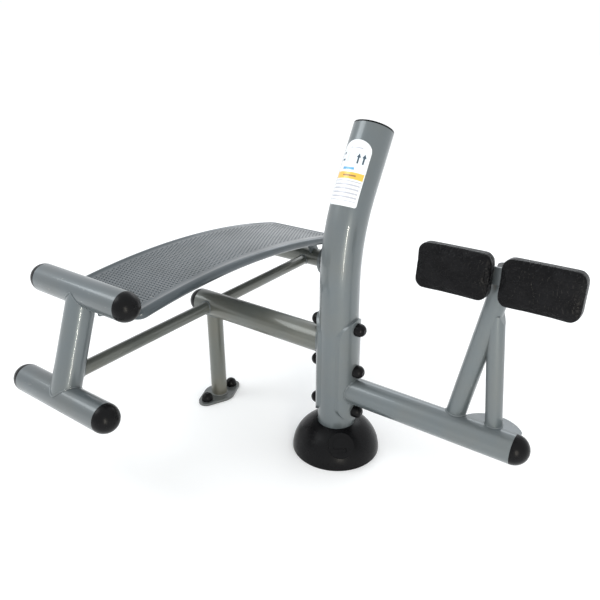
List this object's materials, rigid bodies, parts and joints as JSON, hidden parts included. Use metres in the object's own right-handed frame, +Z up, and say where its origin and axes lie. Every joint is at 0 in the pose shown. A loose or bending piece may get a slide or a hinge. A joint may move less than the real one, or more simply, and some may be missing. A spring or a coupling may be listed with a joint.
{
  "type": "outdoor sit-up and back-extension station",
  "caption": "Fixed outdoor exercise station: curved sit-up board with foot bars on one side of a bent post, hip pads and toe plate on the other.",
  "frame": {"origin": "centre of the post's base flange at ground level", "axes": "+X along the right beam towards the hip pads, +Y towards the head end of the sit-up board, +Z up"},
  "size_m": [1.4901, 1.3635, 1.089],
  "materials": {
    "grey_paint": "satin powder coat",
    "black_plastic": "moulded, slightly glossy",
    "zinc_steel": "zinc plated",
    "pad_rubber": "textured moulded skin",
    "pad_board": "sealed plywood",
    "label_print": "printed film"
  },
  "bodies": {
    "root": {"post_tube": "grey_paint", "post_top_cap": "black_plastic", "base_flange": "grey_paint", "base_cover": "black_plastic", "cover_plug": "black_plastic", "crush_sleeves": "zinc_steel", "saddle_left": "grey_paint", "saddle_right": "grey_paint", "through_bolts": "zinc_steel", "bolt_washers": "zinc_steel", "bolt_nuts": "zinc_steel", "bolt_caps": "black_plastic", "left_beam": "grey_paint", "right_beam": "grey_paint", "beam_end_caps": "black_plastic", "leg": "grey_paint", "leg_plate": "grey_paint", "leg_anchors": "zinc_steel", "leg_bolt_caps": "black_plastic", "foot_upright": "grey_paint", "foot_bar_upper": "grey_paint", "foot_bar_lower": "grey_paint", "foot_bar_caps": "black_plastic", "spine_lower": "grey_paint", "spine_upper": "grey_paint", "head_bar": "grey_paint", "head_bar_caps": "black_plastic", "head_bar_disc": "grey_paint", "head_bar_buffer": "black_plastic", "deck": "grey_paint", "deck_lugs": "grey_paint", "deck_front_tabs": "grey_paint", "strut_a": "grey_paint", "strut_b": "grey_paint", "strut_a_cap": "black_plastic", "toe_plate": "grey_paint", "pad_carrier": "grey_paint", "pad_board_left": "pad_board", "pad_board_right": "pad_board", "pad_screws": "zinc_steel", "pad_left": "pad_rubber", "pad_right": "pad_rubber", "label_plate": "label_print"}
  },
  "joints": []
}
